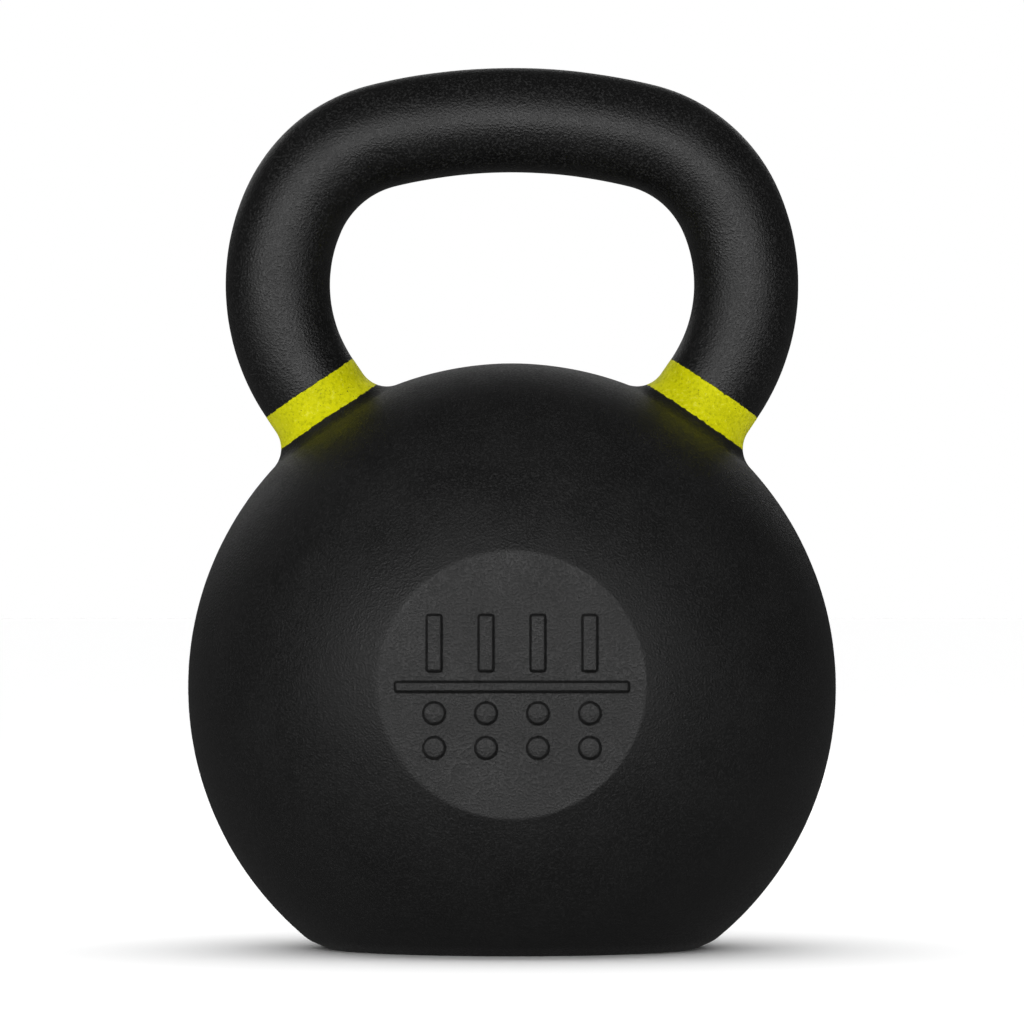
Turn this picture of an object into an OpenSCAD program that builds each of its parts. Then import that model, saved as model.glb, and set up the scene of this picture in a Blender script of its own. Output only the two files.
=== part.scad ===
// One-piece cast-iron kettlebell, 48 kg class.
// Ball, horns and grip are one casting. A black powder coat covers it, and a painted
// band marks each horn. The origin is the centre of the flat base, +Z is up, the
// handle spans X, and the flat disc with the raised weight mark faces -Y.

/* [Ball] */
// Diameter of the ball over its coat
ball_d = 232; // [226:1:238]
// Height of the ball's centre above the floor
ball_centre_h = 93.3; // [90:0.1:97]
// Diameter of the flat base that stands on the floor
base_flat_d = 132; // [118:1:134]
// Angle of the chamfer round the base, from the floor
base_chamfer_angle = 24; // [18:1:30]

/* [Handle] */
// Diameter of the round grip bar over its coat
grip_d = 37.6; // [35:0.1:40]
// Centreline radius of the shallow crown along the top of the grip
crown_r = 196; // [186:1:206]
// Angle that the crown sweeps on each side of the middle
crown_angle = 13.6; // [12.6:0.1:14.6]
// Centreline radius of the two shoulders
shoulder_r = 47.3; // [46:0.1:49]
// Angle that each shoulder sweeps
shoulder_angle = 52.8; // [51:0.1:54]
// Centreline radius of the bend from each shoulder down to its horn
lower_r = 65.9; // [60:0.1:70]
// Lean of each horn from the vertical, where it points at the ball's centre
horn_lean = 34.1; // [33.6:0.1:34.6]
// Radius of the concave fillet between each horn and the ball
root_fillet_r = 10.4; // [8:0.1:11]

/* [Bands] */
// Height of each painted band's lower edge above the ball's surface
band_rise = 0.6; // [0.5:0.1:2]

/* [Flat disc and weight mark] */
// Diameter of the flat disc on the front of the ball
disc_d = 93; // [90:1:100]
// Angle by which the disc faces upwards
disc_tilt = 1.4; // [0:0.1:3]
// Height that the mark stands proud of the disc
mark_relief = 1.2; // [0.8:0.1:1.6]
// Number of upright bars, one for each ten kilograms
tens_bars = 4; // [1:1:4]
// Number of round pips, one for each further kilogram
ones_pips = 8; // [1:1:8]
// Spacing of the bars and of the columns of pips
mark_pitch = 18; // [14:0.5:19]
// Width of each bar
bar_w = 5; // [4:0.5:7]
// Height of each bar
bar_h = 19.4; // [16:0.2:20]
// Diameter of each pip
pip_d = 7.4; // [5:0.1:8]
// Spacing of the two rows of pips
pip_row_pitch = 12; // [10:0.5:13]
// Length of the divider between the bars and the pips
divider_l = 81; // [70:1:84]
// Width of the divider
divider_w = 3.3; // [3:0.1:5]

/* [Coat] */
// Modelled thickness of the coat on the ball and the horns, bands included
coat_t = 0.4; // [0.3:0.1:0.4]
// Modelled thickness of the coat round the grip bar, which has to be the thicker one
bar_coat_t = 0.6; // [0.6:0.1:0.8]

/* [Hidden] */
$fn = 96;

ball_r = ball_d / 2;
grip_r = grip_d / 2;
disc_r = disc_d / 2;
disc_offset = sqrt(ball_r * ball_r - disc_r * disc_r);

// Centreline of the right half of the handle, in X and height, from the crown's middle.
// A heading of 0 runs along +X, and it grows as the bar turns down towards the ball.
shoulder_heading = crown_angle;
lower_heading = shoulder_heading + shoulder_angle;
horn_heading = 90 + horn_lean;
function across(heading) = [sin(heading), cos(heading)];
crown_c = [0, -crown_r];
shoulder_c = crown_c + (crown_r - shoulder_r) * across(shoulder_heading);
lower_c = shoulder_c + (shoulder_r - lower_r) * across(lower_heading);
lower_end = lower_c + lower_r * across(horn_heading);

// The bar's height is the one at which both horns point at the ball's centre.
crown_h = -lower_end.y - lower_end.x * tan(horn_heading);
horn_top = norm([lower_end.x, lower_end.y + crown_h]);
overall_h = ball_centre_h + crown_h + grip_r;

// Centre of the root fillet, as [distance from the horn's axis, distance along it].
// It is tangent to the horn, and it sinks a little into the ball so that the two
// surfaces cross on a clean edge.
fillet_sink = 0.02;
fillet_reach = ball_r + root_fillet_r - fillet_sink;
fillet_c = [
    grip_r + root_fillet_r,
    sqrt(pow(fillet_reach, 2) - pow(grip_r + root_fillet_r, 2))
];

// Distances along a horn's axis, from the ball's centre. The horn starts deep in the
// ball, and its iron runs on into the bend so that the two are one solid.
root_depth = 0.8 * ball_r;
band_start = ball_r + band_rise;
horn_overlap = 0.5;

// The two rows of the mark, measured up from the disc's middle.
row_gap = 3.8;
divider_z = -0.5;
bars_z = divider_z + divider_w / 2 + row_gap + bar_h / 2;
pips_z = divider_z - divider_w / 2 - row_gap - pip_row_pitch / 2 - pip_d / 2;
mark_root = 3;

// Every shape below takes an inset: 0 gives the coated surface and coat_t the bare iron.

// Ball with its flat base and chamfer.
module ball_of_revolution(inset) {
    slope = tan(base_chamfer_angle);
    lift = inset / cos(base_chamfer_angle);
    rotate_extrude()
        intersection() {
            translate([0, ball_centre_h])
                circle(ball_r - inset);
            polygon([
                [0, inset],
                [base_flat_d / 2 + (inset - lift) / slope, inset],
                [ball_d, (ball_d - base_flat_d / 2) * slope + lift],
                [ball_d, overall_h],
                [0, overall_h]
            ]);
        }
}

// Half section of a horn and its root fillet, for the stretch between two distances
// from the ball's centre.
module horn_section(inset, low, high) {
    intersection() {
        difference() {
            polygon([
                [0, 0],
                fillet_c,
                [grip_r - inset, fillet_c.y],
                [grip_r - inset, horn_top + ball_r],
                [0, horn_top + ball_r]
            ]);
            translate(fillet_c)
                circle(root_fillet_r + inset);
        }
        translate([0, low])
            square([ball_r, high - low]);
    }
}

// Places its children on a horn's axis, measured from the ball's centre.
// Side is 1 for the right horn and -1 for the left one.
module on_horn(side) {
    translate([0, 0, ball_centre_h])
        rotate([0, side * horn_lean, 0])
            children();
}

module both_horn_feet(inset, high) {
    for (side = [-1, 1])
        on_horn(side)
            rotate_extrude()
                horn_section(inset, root_depth, high);
}

// Moves its children in a plane. The last thousandths are a step of their own, so that
// neighbouring bends meet without a gap.
module shifted(v) {
    rounded = [round(v.x * 1000), round(v.y * 1000)] / 1000;
    translate(rounded)
        translate(v - rounded)
            children();
}

// Stretch of the bar round a centre, from a heading on through an angle.
module bend(centre, radius, heading, angle, bar_r) {
    shifted(centre)
        rotate_extrude(angle = angle, start = 90 - heading - angle)
            translate([radius, 0])
                circle(bar_r);
}

// The grip bar from the top of one horn over to the top of the other.
module grip_bar(bar_r) {
    translate([0, 0, ball_centre_h + crown_h])
        rotate([90, 0, 0]) {
            bend(crown_c, crown_r, -crown_angle, 2 * crown_angle, bar_r);
            for (flip = [0, 1])
                mirror([flip, 0, 0]) {
                    bend(shoulder_c, shoulder_r, shoulder_heading, shoulder_angle, bar_r);
                    bend(lower_c, lower_r, lower_heading, horn_heading - lower_heading, bar_r);
                }
        }
}

// Places its children on the disc, where its face lies in the XY plane and Z points out.
module on_disc() {
    translate([0, 0, ball_centre_h])
        rotate([90 - disc_tilt, 0, 0])
            translate([0, 0, disc_offset])
                children();
}

// Raised count mark on the disc: bars for tens over a divider, pips for ones below it.
module weight_mark(inset) {
    on_disc()
        translate([0, 0, -mark_root])
            linear_extrude(mark_root + mark_relief - inset) {
                for (i = [0 : tens_bars - 1])
                    translate([(i - (tens_bars - 1) / 2) * mark_pitch, bars_z])
                        square([bar_w - 2 * inset, bar_h - 2 * inset], center = true);
                translate([0, divider_z])
                    square([divider_l - 2 * inset, divider_w - 2 * inset], center = true);
                for (i = [0 : ones_pips - 1])
                    translate([
                        (floor(i / 2) - (ceil(ones_pips / 2) - 1) / 2) * mark_pitch,
                        pips_z - (i % 2 - 0.5) * pip_row_pitch
                    ])
                        circle(pip_d / 2 - inset);
            }
}

// Ball with its disc, its mark and the feet of both horns up to a distance from its centre.
module marked_ball(inset, feet_to) {
    difference() {
        ball_of_revolution(inset);
        on_disc()
            translate([-ball_r, -ball_r, -inset])
                cube([ball_d, ball_d, ball_r]);
    }
    both_horn_feet(inset, feet_to);
    weight_mark(inset);
}

// The solid iron under the coat.
module iron() {
    marked_ball(coat_t, horn_top + horn_overlap);
    grip_bar(grip_r - bar_coat_t);
}

module iron_casting() {
    color("dimgray")
        iron();
}

// Black powder coat over the ball, its base, its disc and the horn feet.
module ball_coat() {
    color([0.09, 0.09, 0.10])
        difference() {
            marked_ball(0, band_start);
            iron();
        }
}

// Black powder coat round the grip bar.
module handle_coat() {
    color([0.12, 0.12, 0.13])
        difference() {
            grip_bar(grip_r);
            iron();
        }
}

// Painted band round one horn, from the root fillet up to the first bend.
module band(side) {
    color([0.70, 0.71, 0.08])
        difference() {
            on_horn(side)
                rotate_extrude()
                    horn_section(0, band_start, horn_top);
            iron();
        }
}

module left_band() { band(-1); }
module right_band() { band(1); }

iron_casting();
ball_coat();
handle_coat();
left_band();
right_band();
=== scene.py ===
"""Looks of the kettlebell: powder-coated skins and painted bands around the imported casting."""
import math

import bmesh
import bpy
import numpy as np
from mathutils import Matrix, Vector, geometry, kdtree


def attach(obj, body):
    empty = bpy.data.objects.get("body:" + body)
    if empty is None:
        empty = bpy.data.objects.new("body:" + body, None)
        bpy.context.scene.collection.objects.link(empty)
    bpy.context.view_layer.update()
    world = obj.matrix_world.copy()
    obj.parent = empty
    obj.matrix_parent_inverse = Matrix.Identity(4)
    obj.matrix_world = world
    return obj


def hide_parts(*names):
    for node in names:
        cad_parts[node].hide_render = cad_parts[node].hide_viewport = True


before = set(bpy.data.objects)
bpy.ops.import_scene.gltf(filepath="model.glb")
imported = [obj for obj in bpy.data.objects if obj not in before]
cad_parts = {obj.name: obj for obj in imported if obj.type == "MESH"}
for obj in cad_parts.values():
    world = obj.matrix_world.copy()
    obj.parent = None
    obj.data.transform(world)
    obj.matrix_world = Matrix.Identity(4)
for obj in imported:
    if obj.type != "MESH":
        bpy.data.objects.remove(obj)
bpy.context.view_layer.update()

# Sizes in millimetres and angles in degrees, as in the CAD part. Points are measured from
# the ball's centre, with X along the handle, -Y to the front and Z up.
CENTRE = np.array([0.0, 0.0, 93.3])
BALL_R = 116.0
BASE_R = 66.0
CHAMFER_ANGLE = 24.0
GRIP_R = 18.8
CROWN_R = 196.0
CROWN_ANGLE = 13.6
SHOULDER_R = 47.3
SHOULDER_ANGLE = 52.8
LOWER_R = 65.9
HORN_LEAN = 34.1
FILLET_R = 10.4
FILLET_SINK = 0.02
BAND_START = 116.6
DISC_R = 46.5
DISC_TILT = 1.4
MARK_RELIEF = 1.2
MARK_PITCH = 18.0

# The mark's outlines on the disc: middle across and up it, half sizes and corner radius.
MARK_CORNER = 0.6
COLUMNS = [(i - 1.5) * MARK_PITCH for i in range(4)]
BARS = [(middle, 14.65, 2.5, 9.7, MARK_CORNER) for middle in COLUMNS]
DIVIDER = [(0.0, -0.5, 40.5, 1.65, MARK_CORNER)]
PIPS = [(middle, height, 3.7, 3.7, 3.7) for middle in COLUMNS for height in (-9.65, -21.65)]
MARKS = BARS + DIVIDER + PIPS

INNER = 0.36  # depth of every skin's inner face, just outside the iron
PAINT_T = 0.06  # how far the paint stands proud of the coat, away from its thin edges
AROUND = 144  # points round the bar, the bands and the ball's two openings
FAR = 1e3  # distance of what a direction doesn't meet

# Rounding of the edges, and the walls of the mark.
CRISP = 0.05  # the edges of the ball's inner face
CHAMFER_SOFT = 0.5  # the chamfer's upper edge
BASE_SOFT = 0.6  # the base's edge
WALL_FOOT = 0.58  # where the mark's 1 mm wide walls start, outside its outlines
INNER_WALL_FOOT = -0.06  # where the inner face's walls start, which is inside them
INNER_WALL = 0.17  # width of the inner face's walls

# Lines of points along the edges of the ball's skin, as distances off each edge.
RIM_LINES = (-3.6, -2.4, -1.5, -0.9, -0.45, 0, 0.45, 0.9, 1.5, 2.4, 3.6)
CHAMFER_LINES = (-1.2, -0.5, 0, 0.5, 1.2, 2.4)
MARK_LINES = (0.85, 0.6, 0.44, 0.28, 0.1, -0.08, -0.24, -0.45, -0.75)
BASE_LINES = (62, 63.6, 64.8, 65.5, 66, 66.5, 67.2, 68.4, 70)  # these are radii
FILLET_RINGS = 10  # rings of points on each root fillet
FILLET_RINGS_TO = 14.2  # angle off the horn's axis, a little past the fillet
RINGS_BEYOND = (15.0, 16.1)  # angles of two coarser rings round them
OPENING_R = 21.0  # radius of the horn at a band's lower edge, near enough
CHAMFER_TOP = (72.8, 90.3)  # radius and depth where chamfer and ball meet, near enough

SCATTER = 24000  # even points on the whole ball, before those near a line are left out
SCATTER_GAP = 1.6  # least distance between a scattered point and a line
SCATTER_FREE = 12  # angle round each horn's axis that gets no scattered points
HANDLE_RINGS = 151
HANDLE_FADE = 8  # length over which the handle's rings turn from ragged to plain
OUTLINE_PITCH = 0.8  # spacing of the points along the mark's outlines
LEAST_CORNER = 0.05  # radius of the mark's corners where an offset would leave less


def swell(points, wavelength, seed):
    """Smooth unevenness of about that wavelength at points, from -1 to 1."""
    waves = 14
    rng = np.random.default_rng(seed)
    k = rng.normal(size=(waves, 3))
    length = rng.uniform(0.7, 1.4, waves) * 2 * np.pi / wavelength
    k *= (length / np.linalg.norm(k, axis=1))[:, None]
    total = np.sin(points @ k.T + rng.uniform(0, 2 * np.pi, waves)).sum(-1)
    return np.clip(total / (1.4 * math.sqrt(waves)), -1, 1)


def dip(points):
    """Depth of the cast surface below the CAD one."""
    return 0.05 + 0.035 * swell(points, 38, 3) + 0.015 * swell(points, 11, 4)


def ramp(t):
    """Smooth step from 0 to 1."""
    t = np.clip(t, 0, 1)
    return t * t * (3 - 2 * t)


def smooth_min(a, b, k):
    """The lesser of two distances, with the edge between them rounded over about k."""
    h = np.clip(1 - np.abs(a - b) / k, 0, 1)
    return np.minimum(a, b) - h * h * k / 4


def across(heading):
    """The way out from a bend's centre, in X and Z. A heading of 0 runs along +X, and it
    grows as the bar turns down."""
    return np.stack([np.sin(heading), np.cos(heading)], -1)


# The bar's centreline, from the crown's middle out along the right half. The headings are
# those at which the shoulder, the lower bend and the horn start, and the ends are
# distances along the bar.
SHOULDER_AT = math.radians(CROWN_ANGLE)
LOWER_AT = math.radians(CROWN_ANGLE + SHOULDER_ANGLE)
HORN_AT = math.radians(90.0 + HORN_LEAN)
CROWN_C = np.array([0, -CROWN_R])
SHOULDER_C = CROWN_C + (CROWN_R - SHOULDER_R) * across(SHOULDER_AT)
LOWER_C = SHOULDER_C + (SHOULDER_R - LOWER_R) * across(LOWER_AT)
LOWER_END = LOWER_C + LOWER_R * across(HORN_AT)
CROWN_H = -LOWER_END[1] - LOWER_END[0] * math.tan(HORN_AT)
HORN_TOP = math.hypot(LOWER_END[0], LOWER_END[1] + CROWN_H)
HORN_AXIS = np.array([math.sin(math.radians(HORN_LEAN)), 0, math.cos(math.radians(HORN_LEAN))])
CROWN_END = CROWN_R * SHOULDER_AT
SHOULDER_END = CROWN_END + SHOULDER_R * (LOWER_AT - SHOULDER_AT)
BAR_END = SHOULDER_END + LOWER_R * (HORN_AT - LOWER_AT)
BAND_END = BAR_END + HORN_TOP - BAND_START

# A root fillet's centre, as distances from the horn's axis and along it, and the angle
# off that axis at which the fillet meets the ball.
FILLET = np.array([
    GRIP_R + FILLET_R,
    math.sqrt((BALL_R + FILLET_R - FILLET_SINK) ** 2 - (GRIP_R + FILLET_R) ** 2),
])
FOOT = math.atan2(FILLET[0], FILLET[1])

# The disc's distance, the way it faces and the way up it, and the chamfer's slope.
DISC_OFFSET = math.sqrt(BALL_R**2 - DISC_R**2)
TILT = math.radians(DISC_TILT)
FACE = np.array([0, -math.cos(TILT), math.sin(TILT)])
FACE_UP = np.array([0, math.sin(TILT), math.cos(TILT)])
CHAMFER = math.tan(math.radians(CHAMFER_ANGLE))

PHI = np.arange(AROUND) * 2 * np.pi / AROUND  # angles round the bar


def bar_points(s, phi, depth=0.0):
    """Points on the bar at distance s along it from the crown's middle, negative on the
    left, and angle phi round it. Past BAR_END it runs straight down the horn and flares
    into the root fillet."""
    s, phi = np.broadcast_arrays(s, phi)
    a = np.abs(s)
    conditions = [a < CROWN_END, a < SHOULDER_END]
    heading = np.select(conditions, [a / CROWN_R, SHOULDER_AT + (a - CROWN_END) / SHOULDER_R],
                        np.minimum(LOWER_AT + (a - SHOULDER_END) / LOWER_R, HORN_AT))
    out = across(heading)
    centre = np.select([c[..., None] for c in conditions],
                       [CROWN_C + CROWN_R * out, SHOULDER_C + SHOULDER_R * out],
                       LOWER_C + LOWER_R * out)
    past = np.maximum(a - BAR_END, 0)
    centre = centre + past[..., None] * np.array([math.cos(HORN_AT), -math.sin(HORN_AT)])
    low = np.clip(FILLET[1] - (HORN_TOP - past), 0, FILLET_R - 0.5)
    radius = FILLET[0] - np.sqrt((FILLET_R + depth) ** 2 - low**2)
    side = np.where(s < 0, -1.0, 1.0)
    x = side * (centre[..., 0] + radius * np.cos(phi) * out[..., 0])
    z = centre[..., 1] + CROWN_H + radius * np.cos(phi) * out[..., 1]
    return np.stack([x, radius * np.sin(phi), z], -1)


def seam(side, upper):
    """Distances along the bar of a band's upper or lower edge, at every angle round it: a
    brushed, slightly ragged line."""
    nominal = BAR_END if upper else BAND_END
    p = bar_points(side * nominal, PHI)
    wander = 0.2 * swell(p, 30, 11) + 0.1 * swell(p, 6, 12) + 0.12 * swell(p, 2.2, 13)
    return nominal + wander


def outline_distance(across_disc, up_disc):
    """Distance from the nearest outline of the mark, negative inside it."""
    best = np.full(np.shape(across_disc), FAR)
    for middle, height, half_w, half_h, corner in MARKS:
        a = np.abs(across_disc - middle) - half_w + corner
        b = np.abs(up_disc - height) - half_h + corner
        d = np.hypot(np.maximum(a, 0), np.maximum(b, 0)) + np.minimum(np.maximum(a, b), 0)
        best = np.minimum(best, d - corner)
    return best


def plane_distance(toward, offset, least):
    """Distance to a plane along the directions that head towards it enough, FAR along others."""
    return np.where(toward > least, offset / np.maximum(toward, least), FAR)


def ball_points(u, inner=False):
    """Points of the ball's skin along unit directions u from its centre."""
    depth = np.full(len(u), INNER) if inner else dip(u * BALL_R) + PAINT_T
    body = BALL_R - depth

    along = np.abs(u[:, 0]) * HORN_AXIS[0] + u[:, 2] * HORN_AXIS[2]
    psi = np.arccos(np.clip(along, -1, 1))
    near = psi < FOOT
    toward = FILLET[0] * np.sin(psi[near]) + FILLET[1] * np.cos(psi[near])
    gap = (FILLET_R + depth[near]) ** 2 - FILLET @ FILLET + toward**2
    body[near] = np.maximum(body[near], toward - np.sqrt(np.maximum(gap, 0)))

    # The disc's rim is soft at its upper left and crisper at its lower right.
    front = u @ FACE
    turn = np.arctan2(u[:, 2], u[:, 0])
    soft = CRISP if inner else 0.35 + 0.25 * np.cos(turn - 2.7) + 0.05 * np.sin(5 * turn + 1)
    body = smooth_min(body, plane_distance(front, DISC_OFFSET - depth, 0.5), soft)

    down = -u[:, 2]
    slant = np.hypot(u[:, 0], u[:, 1]) * CHAMFER + down
    lift = INNER / math.cos(math.atan(CHAMFER)) if inner else 0.05 + 0.05 * np.sin(3 * turn)
    chamfer = plane_distance(slant, CENTRE[2] + BASE_R * CHAMFER - lift, 0.3)
    body = smooth_min(body, chamfer, CRISP if inner else CHAMFER_SOFT)
    base = plane_distance(down, CENTRE[2] - (INNER if inner else 0), 0.3)
    body = smooth_min(body, base, CRISP if inner else BASE_SOFT)

    points = u * body[:, None]
    d = np.where(front > 0.8, outline_distance(points[:, 0], points @ FACE_UP), FAR)
    if inner:
        rise = ramp((INNER_WALL_FOOT - d) / INNER_WALL)
    else:
        rise = 0.6 * np.clip(WALL_FOOT - d, 0, 1) + 0.4 * ramp(WALL_FOOT - d)
    return points + MARK_RELIEF * rise[:, None] * FACE


def ring(axis, angle, count):
    """Unit directions at an angle from an axis."""
    axis = np.array(axis, float)
    side = np.cross(axis, [0.3, 1, 0.2])
    side /= np.linalg.norm(side)
    up = np.cross(axis, side)
    t = np.arange(count) * 2 * np.pi / count
    outward = np.cos(t)[:, None] * side + np.sin(t)[:, None] * up
    return math.cos(angle) * axis + math.sin(angle) * outward


def mark_outline(mark, offset):
    """Points on the disc at an offset outside an outline of the mark: round each corner,
    then along the side that follows it."""
    middle, height, half_w, half_h, corner = mark
    r = max(corner + offset, LEAST_CORNER)
    w, h = half_w - corner, half_h - corner
    if corner + offset < LEAST_CORNER:
        w, h = w + corner + offset - LEAST_CORNER, h + corner + offset - LEAST_CORNER
    bends = max(int(r * math.pi / 2 / OUTLINE_PITCH), 2)
    corners = ((w, h), (-w, h), (-w, -h), (w, -h))
    points = []
    for turn, (cx, cz) in enumerate(corners):
        start = turn * math.pi / 2
        points += [(cx + r * math.cos(start + i / bends * math.pi / 2),
                    cz + r * math.sin(start + i / bends * math.pi / 2)) for i in range(bends + 1)]
        nx, nz = corners[(turn + 1) % 4]
        edge = start + math.pi / 2
        a = np.array([cx + r * math.cos(edge), cz + r * math.sin(edge)])
        b = np.array([nx + r * math.cos(edge), nz + r * math.sin(edge)])
        steps = int(np.linalg.norm(b - a) / OUTLINE_PITCH)
        points += [tuple(a + (b - a) * i / steps) for i in range(1, steps)]
    points = np.array(points) + (middle, height)
    return points @ np.array([(1, 0, 0), FACE_UP]) + DISC_OFFSET * FACE


def ball_directions():
    """Directions for the skin's points: both openings first, then lines along its edges,
    then an even scatter between them."""
    groups = [bar_points(side * seam(side, False), PHI) for side in (-1, 1)]
    for side in (-1, 1):
        axis = HORN_AXIS * (side, 1, 1)
        edge = math.degrees(math.atan2(OPENING_R, BAND_START))
        angles = np.linspace(edge + 0.5, FILLET_RINGS_TO, FILLET_RINGS)
        groups += [ring(axis, math.radians(a), AROUND) for a in angles]
        groups += [ring(axis, math.radians(a), 96) for a in RINGS_BEYOND]
    rim = math.asin(DISC_R / BALL_R)
    groups += [ring(FACE, rim + a / BALL_R, 170) for a in RIM_LINES]
    groups += [ring((0, 0, -1), math.atan2(r, CENTRE[2]), 180) for r in BASE_LINES]
    slanted = math.atan2(*CHAMFER_TOP)
    groups += [ring((0, 0, -1), slanted + a / BALL_R, 190) for a in CHAMFER_LINES]
    groups += [mark_outline(mark, offset) for mark in MARKS for offset in MARK_LINES]
    lines = np.concatenate(groups)
    lines /= np.linalg.norm(lines, axis=1)[:, None]
    lines = lines[np.sort(np.unique(np.round(lines, 5), axis=0, return_index=True)[1])]
    tree = kdtree.KDTree(len(lines))
    for i, p in enumerate(lines):
        tree.insert(p, i)
    tree.balance()

    i = np.arange(SCATTER)
    z = 1 - (2 * i + 1) / SCATTER
    turn = i * math.pi * (3 - math.sqrt(5))
    flat = np.sqrt(1 - z * z)
    even = np.column_stack([flat * np.cos(turn), flat * np.sin(turn), z])
    along = np.abs(even[:, 0]) * HORN_AXIS[0] + even[:, 2] * HORN_AXIS[2]
    even = even[along < math.cos(math.radians(SCATTER_FREE))]
    spare = [p for p in even if tree.find(p)[2] > SCATTER_GAP / BALL_R]
    return np.concatenate([lines, spare])


def ball_triangles(u):
    """Triangles between the directions, with both openings left free. The sphere is laid
    flat from a point inside the left opening, so the flat triangulation fits the sphere."""
    pole = HORN_AXIS * (-1, 1, 1)
    east = np.array([0.0, 1.0, 0.0])
    north = np.cross(pole, east)
    scale = 1 / (1 - u @ pole)
    flat = [Vector(p) for p in np.column_stack([u @ east * scale, u @ north * scale])]
    edges = [(start + i, start + (i + 1) % AROUND) for start in (0, AROUND) for i in range(AROUND)]
    result = geometry.delaunay_2d_cdt(flat, edges, [], 0, 1e-7)
    source = np.array([s[0] for s in result[3]])
    triangles = source[np.array([list(f) for f in result[2]])]
    left_cap = (triangles < AROUND).all(1)
    right_cap = ((triangles >= AROUND) & (triangles < 2 * AROUND)).all(1)
    triangles = triangles[~(left_cap | right_cap)]
    a, b, c = (u[triangles[:, i]] for i in range(3))
    inward = (np.cross(b - a, c - a) * (a + b + c)).sum(1) < 0
    triangles[inward] = triangles[inward][:, ::-1]
    return triangles


def linked(name, data):
    """A new object in the scene."""
    obj = bpy.data.objects.new(name, data)
    bpy.context.scene.collection.objects.link(obj)
    return obj


def piece(name, outer, inner, faces, rims):
    """A closed skin in scene metres from its outer and inner points, its outer faces and the
    loops of point numbers at its open edges. It is smooth, and sharp along those edges."""
    count = len(outer)
    points = (np.concatenate([outer, inner]) + CENTRE) * 0.001
    rim_edges = [pair for loop in rims for pair in zip(loop, loop[1:] + loop[:1])]
    faces = [tuple(int(i) for i in f) for f in faces]
    faces += [tuple(i + count for i in reversed(f)) for f in faces]
    faces += [(a, b, b + count, a + count) for a, b in rim_edges]
    mesh = bpy.data.meshes.new(name)
    mesh.from_pydata(points.tolist(), [], faces)
    bm = bmesh.new()
    bm.from_mesh(mesh)
    bmesh.ops.recalc_face_normals(bm, faces=bm.faces)
    bm.verts.ensure_lookup_table()
    for face in bm.faces:
        face.smooth = True
    for a, b in rim_edges:
        for shift in (0, count):
            bm.edges.get((bm.verts[a + shift], bm.verts[b + shift])).smooth = False
    bm.to_mesh(mesh)
    bm.free()
    obj = linked(name, mesh)
    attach(obj, "root")
    return obj


def tube(name, s, depth):
    """A closed skin round the bar, with its rings at s and its outer face at a depth."""
    outer = bar_points(s, PHI, dip(bar_points(s, PHI)) + depth)
    inner = bar_points(s, PHI, INNER)
    rings = len(s)
    faces = [(r * AROUND + i, r * AROUND + (i + 1) % AROUND,
              (r + 1) * AROUND + (i + 1) % AROUND, (r + 1) * AROUND + i)
             for r in range(rings - 1) for i in range(AROUND)]
    ends = [list(range(AROUND)), list(range((rings - 1) * AROUND, rings * AROUND))]
    return piece(name, outer.reshape(-1, 3), inner.reshape(-1, 3), faces, ends)


def band(side, name):
    """Painted band: its edges thin out onto the coat. It stores each point's distance from
    the nearer edge, for the material."""
    high, low = side * seam(side, True), side * seam(side, False)
    share = np.concatenate([
        [0, 0.02, 0.05, 0.09], np.linspace(0.14, 0.86, 16), [0.91, 0.95, 0.98, 1],
    ])
    nearness = np.minimum(share, 1 - share)
    thinned = PAINT_T * (1 - ramp(nearness / 0.05))
    obj = tube(name, high + (low - high) * share[:, None], thinned[:, None])
    from_edge = np.tile(np.repeat(nearness * (HORN_TOP - BAND_START), AROUND), 2)
    obj.data.attributes.new("from_edge", "FLOAT", "POINT").data.foreach_set("value", from_edge)
    return obj


# Materials
def nodes_of(name):
    """A new material, its node tree and its shader."""
    material = bpy.data.materials.new(name)
    material.use_nodes = True
    tree = material.node_tree
    return material, tree, tree.nodes["Principled BSDF"]


def set_or_link(tree, socket, value):
    """Gives an input a value, or links it if the value is an output."""
    if isinstance(value, bpy.types.NodeSocket):
        tree.links.new(value, socket)
    else:
        socket.default_value = value


def add(tree, kind, inputs=(), **settings):
    """Adds a node, sets its properties, and gives its inputs values or links."""
    node = tree.nodes.new(kind)
    for key, value in settings.items():
        setattr(node, key, value)
    for key, value in dict(inputs).items():
        set_or_link(tree, node.inputs[key], value)
    return node


def object_place(tree):
    return add(tree, "ShaderNodeTexCoord").outputs["Object"]


def noise_of(tree, where, scale, detail, roughness=0.5):
    return add(tree, "ShaderNodeTexNoise", {
        "Vector": where, "Scale": scale, "Detail": detail, "Roughness": roughness,
    }).outputs["Fac"]


def mapped(tree, value, low, high, to_low, to_high):
    """A value's range between low and high, mapped to another range and clamped."""
    return add(tree, "ShaderNodeMapRange", {
        "Value": value, "From Min": low, "From Max": high, "To Min": to_low, "To Max": to_high,
    }).outputs["Result"]


def mixed(tree, fac, a, b):
    """A mix of two colours, each given as three numbers or as an output."""
    node = add(tree, "ShaderNodeMix", {"Factor": fac}, data_type="RGBA")
    colour_a, colour_b, result = node.inputs[6], node.inputs[7], node.outputs[2]
    for socket, value in ((colour_a, a), (colour_b, b)):
        set_or_link(tree, socket, (*value, 1) if isinstance(value, tuple) else value)
    return result


def bumped(tree, height, distance, below=None):
    """A bump of a depth in metres, on top of the one below it."""
    inputs = {"Height": height, "Distance": distance}
    if below is not None:
        inputs["Normal"] = below
    return add(tree, "ShaderNodeBump", inputs).outputs["Normal"]


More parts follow.
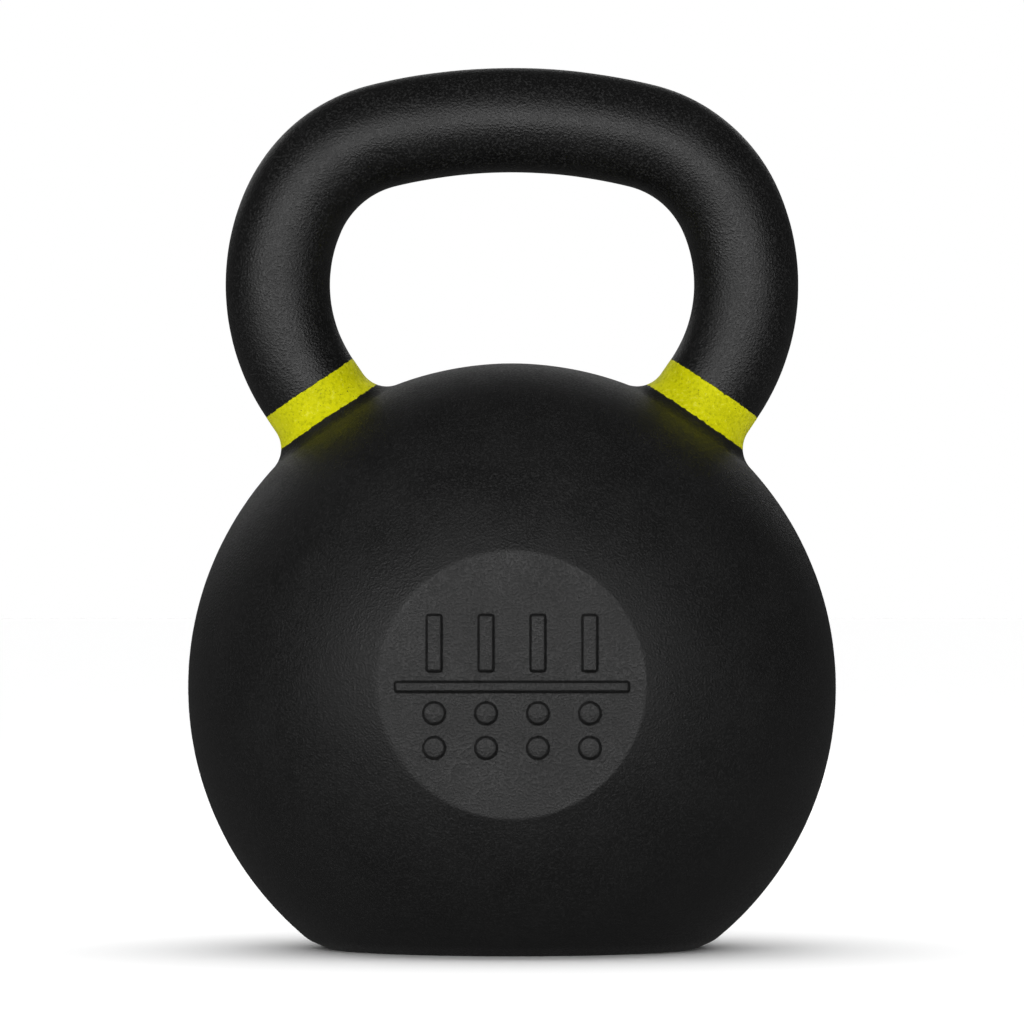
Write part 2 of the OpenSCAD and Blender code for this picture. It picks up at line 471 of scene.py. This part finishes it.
def powder_coat(name, dark, light, speck, rough):
    """Near-black powder coat: fine grain with paler specks over a slightly wavy casting,
    small pits, and patches of a slightly different sheen."""
    material, tree, shader = nodes_of(name)
    where = object_place(tree)
    patches = noise_of(tree, where, 45, 4, 0.6)
    fine = noise_of(tree, where, 1250, 1)
    waves = noise_of(tree, where, 210, 3)
    specks = noise_of(tree, where, 520, 1)
    tone = mixed(tree, mapped(tree, patches, 0.35, 0.7, 0, 1), (dark,) * 3, (light,) * 3)
    tone = mixed(tree, mapped(tree, fine, 0.34, 0.48, 1, 0), tone, (speck,) * 3)
    tone = mixed(tree, mapped(tree, specks, 0.72, 0.8, 0, 0.5), tone, (1.5 * speck,) * 3)
    tree.links.new(tone, shader.inputs["Base Color"])
    sheen = mapped(tree, patches, 0.3, 0.7, rough - 0.04, rough + 0.05)
    sheen = add(tree, "ShaderNodeMath", {0: mapped(tree, fine, 0.35, 0.65, 0.09, -0.09), 1: sheen})
    tree.links.new(sheen.outputs[0], shader.inputs["Roughness"])
    pits = add(tree, "ShaderNodeTexVoronoi", {"Vector": where, "Scale": 260}).outputs["Distance"]
    normal = bumped(tree, waves, 0.00005)
    normal = bumped(tree, fine, 0.00024, below=normal)
    normal = bumped(tree, mapped(tree, pits, 0.04, 0.14, 0, 1), 0.00006, below=normal)
    tree.links.new(normal, shader.inputs["Normal"])
    shader.inputs["Specular IOR Level"].default_value = 0.42
    return material


def band_paint(name):
    """Acid-yellow paint, mottled with thin olive places and pinholes, with paler patches of
    painted sheen that stand in for its highlight, and dark in a ragged line along its edges."""
    material, tree, shader = nodes_of(name)
    acid, acid_light = (0.42, 0.42, 0.0012), (0.51, 0.505, 0.0015)
    # The pale second colour of this pair is a painted highlight: sheen put into the paint's
    # colour.
    olive, painted_sheen = (0.22, 0.23, 0.002), (0.62, 0.61, 0.06)
    # The second colour of this pair darkens the paint in a ragged line along the band's edges.
    pinhole, thinned = (0.05, 0.055, 0.008), (0.03, 0.033, 0.006)
    where = object_place(tree)
    patches = noise_of(tree, where, 70, 3, 0.6)
    mottle = noise_of(tree, where, 760, 3, 0.6)
    pin = noise_of(tree, where, 1300, 1)
    tone = mixed(tree, mapped(tree, patches, 0.35, 0.65, 0, 1), acid, acid_light)
    tone = mixed(tree, mapped(tree, mottle, 0.52, 0.68, 0, 0.55), tone, olive)
    # Paler patches of painted sheen, standing in for the paint's highlight.
    tone = mixed(tree, mapped(tree, mottle, 0.42, 0.32, 0, 0.4), tone, painted_sheen)
    tone = mixed(tree, mapped(tree, pin, 0.70, 0.76, 0, 0.8), tone, pinhole)
    from_edge = add(tree, "ShaderNodeAttribute", attribute_name="from_edge").outputs["Fac"]
    ragged = add(tree, "ShaderNodeMath", {0: from_edge, 1: mottle}, operation="SUBTRACT")
    # Dark in a ragged line along the band's edges, set by the distance from the edge.
    tone = mixed(tree, mapped(tree, ragged.outputs[0], -0.42, -0.2, 0, 1), thinned, tone)
    tree.links.new(tone, shader.inputs["Base Color"])
    tree.links.new(mapped(tree, mottle, 0.3, 0.7, 0.45, 0.62), shader.inputs["Roughness"])
    shader.inputs["Specular IOR Level"].default_value = 0.05
    tree.links.new(bumped(tree, mottle, 0.00012), shader.inputs["Normal"])
    return material


def cast_iron(name):
    """Bare sand-cast grey iron, for the casting inside the skins."""
    material, tree, shader = nodes_of(name)
    where = object_place(tree)
    sand = noise_of(tree, where, 900, 5, 0.7)
    patches = noise_of(tree, where, 60, 4, 0.6)
    dark, light = (0.09, 0.085, 0.08), (0.16, 0.155, 0.15)
    tone = mixed(tree, mapped(tree, patches, 0.3, 0.7, 0, 1), dark, light)
    tree.links.new(tone, shader.inputs["Base Color"])
    tree.links.new(mapped(tree, sand, 0.3, 0.7, 0.5, 0.75), shader.inputs["Roughness"])
    tree.links.new(bumped(tree, sand, 0.0001), shader.inputs["Normal"])
    shader.inputs["Metallic"].default_value = 0.8
    return material


# Pieces. The ball's skin meets the bands exactly, so its openings take the bar's points.
directions = ball_directions()
openings = [list(range(AROUND)), list(range(AROUND, 2 * AROUND))]
ball_outer, ball_inner = ball_points(directions), ball_points(directions, inner=True)
for start, side in ((0, -1), (AROUND, 1)):
    rim = side * seam(side, False)
    ball_outer[start:start + AROUND] = bar_points(rim, PHI, dip(bar_points(rim, PHI)) + PAINT_T)
    ball_inner[start:start + AROUND] = bar_points(rim, PHI, INNER)
ball_skin = piece("ball_skin", ball_outer, ball_inner, ball_triangles(directions), openings)

# The handle's last rings follow the bands' upper edges.
steps = np.linspace(-BAR_END, BAR_END, HANDLE_RINGS)[:, None]
fade = np.clip(1 - (BAR_END - np.abs(steps)) / HANDLE_FADE, 0, 1)
left, right = (seam(side, True) - BAR_END for side in (-1, 1))
handle_skin = tube("handle_skin", steps + fade * np.where(steps < 0, -left, right), PAINT_T)

left_paint = band(-1, "left_band_paint")
right_paint = band(1, "right_band_paint")

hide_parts("ball_coat")
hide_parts("handle_coat")
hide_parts("left_band")
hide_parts("right_band")

ball_skin.data.materials.append(
    powder_coat("ball_powder_coat", dark=0.0026, light=0.0038, speck=0.0062, rough=0.55))
handle_skin.data.materials.append(
    powder_coat("handle_powder_coat", dark=0.0018, light=0.0028, speck=0.0095, rough=0.45))
paint = band_paint("yellow_band_paint")
left_paint.data.materials.append(paint)
right_paint.data.materials.append(paint)
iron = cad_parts["iron_casting"]
iron.data.materials.clear()
iron.data.materials.append(cast_iron("bare_cast_iron"))


# Floor, backdrop, light and camera, in scene metres
def flat_disc(bm, radius):
    bmesh.ops.create_circle(bm, cap_ends=True, segments=96, radius=radius)


def stage_piece(name, mesh_maker, colour, glow):
    """A matt grey piece of the set, with a glow, that lights nothing and isn't reflected."""
    bm = bmesh.new()
    mesh_maker(bm)
    mesh = bpy.data.meshes.new(name)
    bm.to_mesh(mesh)
    bm.free()
    obj = linked(name, mesh)
    material, _, shader = nodes_of(name)
    shader.inputs["Base Color"].default_value = (colour, colour, colour, 1)
    shader.inputs["Roughness"].default_value = 0.9
    shader.inputs["Specular IOR Level"].default_value = 0.0
    shader.inputs["Emission Color"].default_value = (1, 1, 1, 1)
    shader.inputs["Emission Strength"].default_value = glow
    mesh.materials.append(material)
    obj.visible_diffuse = obj.visible_glossy = False
    return obj


floor = stage_piece("floor", lambda bm: flat_disc(bm, 11), 0.9, 0.0)
backdrop = stage_piece("backdrop", lambda bm: bmesh.ops.create_icosphere(
    bm, subdivisions=4, radius=10.5), 0.0, 1.0)
backdrop.visible_shadow = False
floor.visible_diffuse = True

# What the bell reflects of the floor: a dim white disc that only reflections see.
bounce = stage_piece("floor_bounce", lambda bm: flat_disc(bm, 6), 0.0, 0.11)
bounce.visible_camera = bounce.visible_shadow = False
bounce.visible_glossy = True

AIM = Vector((0, 0, 0.15))  # the lights point at the bell's middle


def light(name, kind, energy, location, **settings):
    """A light that the camera doesn't see."""
    data = bpy.data.lights.new(name, kind)
    data.energy = energy
    for key, value in settings.items():
        setattr(data, key, value)
    obj = linked(name, data)
    obj.location = location
    obj.rotation_euler = (AIM - Vector(location)).to_track_quat("-Z", "Y").to_euler()
    obj.visible_camera = False
    return obj


light("front_strip", "AREA", 41, (-0.2, -1.96, 0.46), shape="RECTANGLE", size=5.2, size_y=0.8)
light("front_fill", "AREA", 22, (-0.3, -2.0, 0.2), shape="DISK", size=3)
light("back_strip", "AREA", 7, (-0.25, 2.4, 1.1), shape="RECTANGLE", size=3.0, size_y=0.8)
overhead = light("overhead", "SUN", 3.55, (0, 1.1, 3), angle=math.radians(110))
overhead.visible_glossy = False

world = bpy.data.worlds.new("studio")
world.use_nodes = True
world.node_tree.nodes["Background"].inputs["Color"].default_value = (1, 1, 1, 1)
world.node_tree.nodes["Background"].inputs["Strength"].default_value = 0.05
bpy.context.scene.world = world
bpy.context.scene.view_settings.view_transform = "Standard"

# A long lens, held level at the height of the picture's middle
camera = linked("camera", bpy.data.cameras.new("camera"))
camera.data.lens = 331
camera.data.clip_end = 60
camera.location = (0, -3.37, 0.156)
camera.rotation_euler = (math.radians(90), 0, 0)
bpy.context.scene.camera = camera
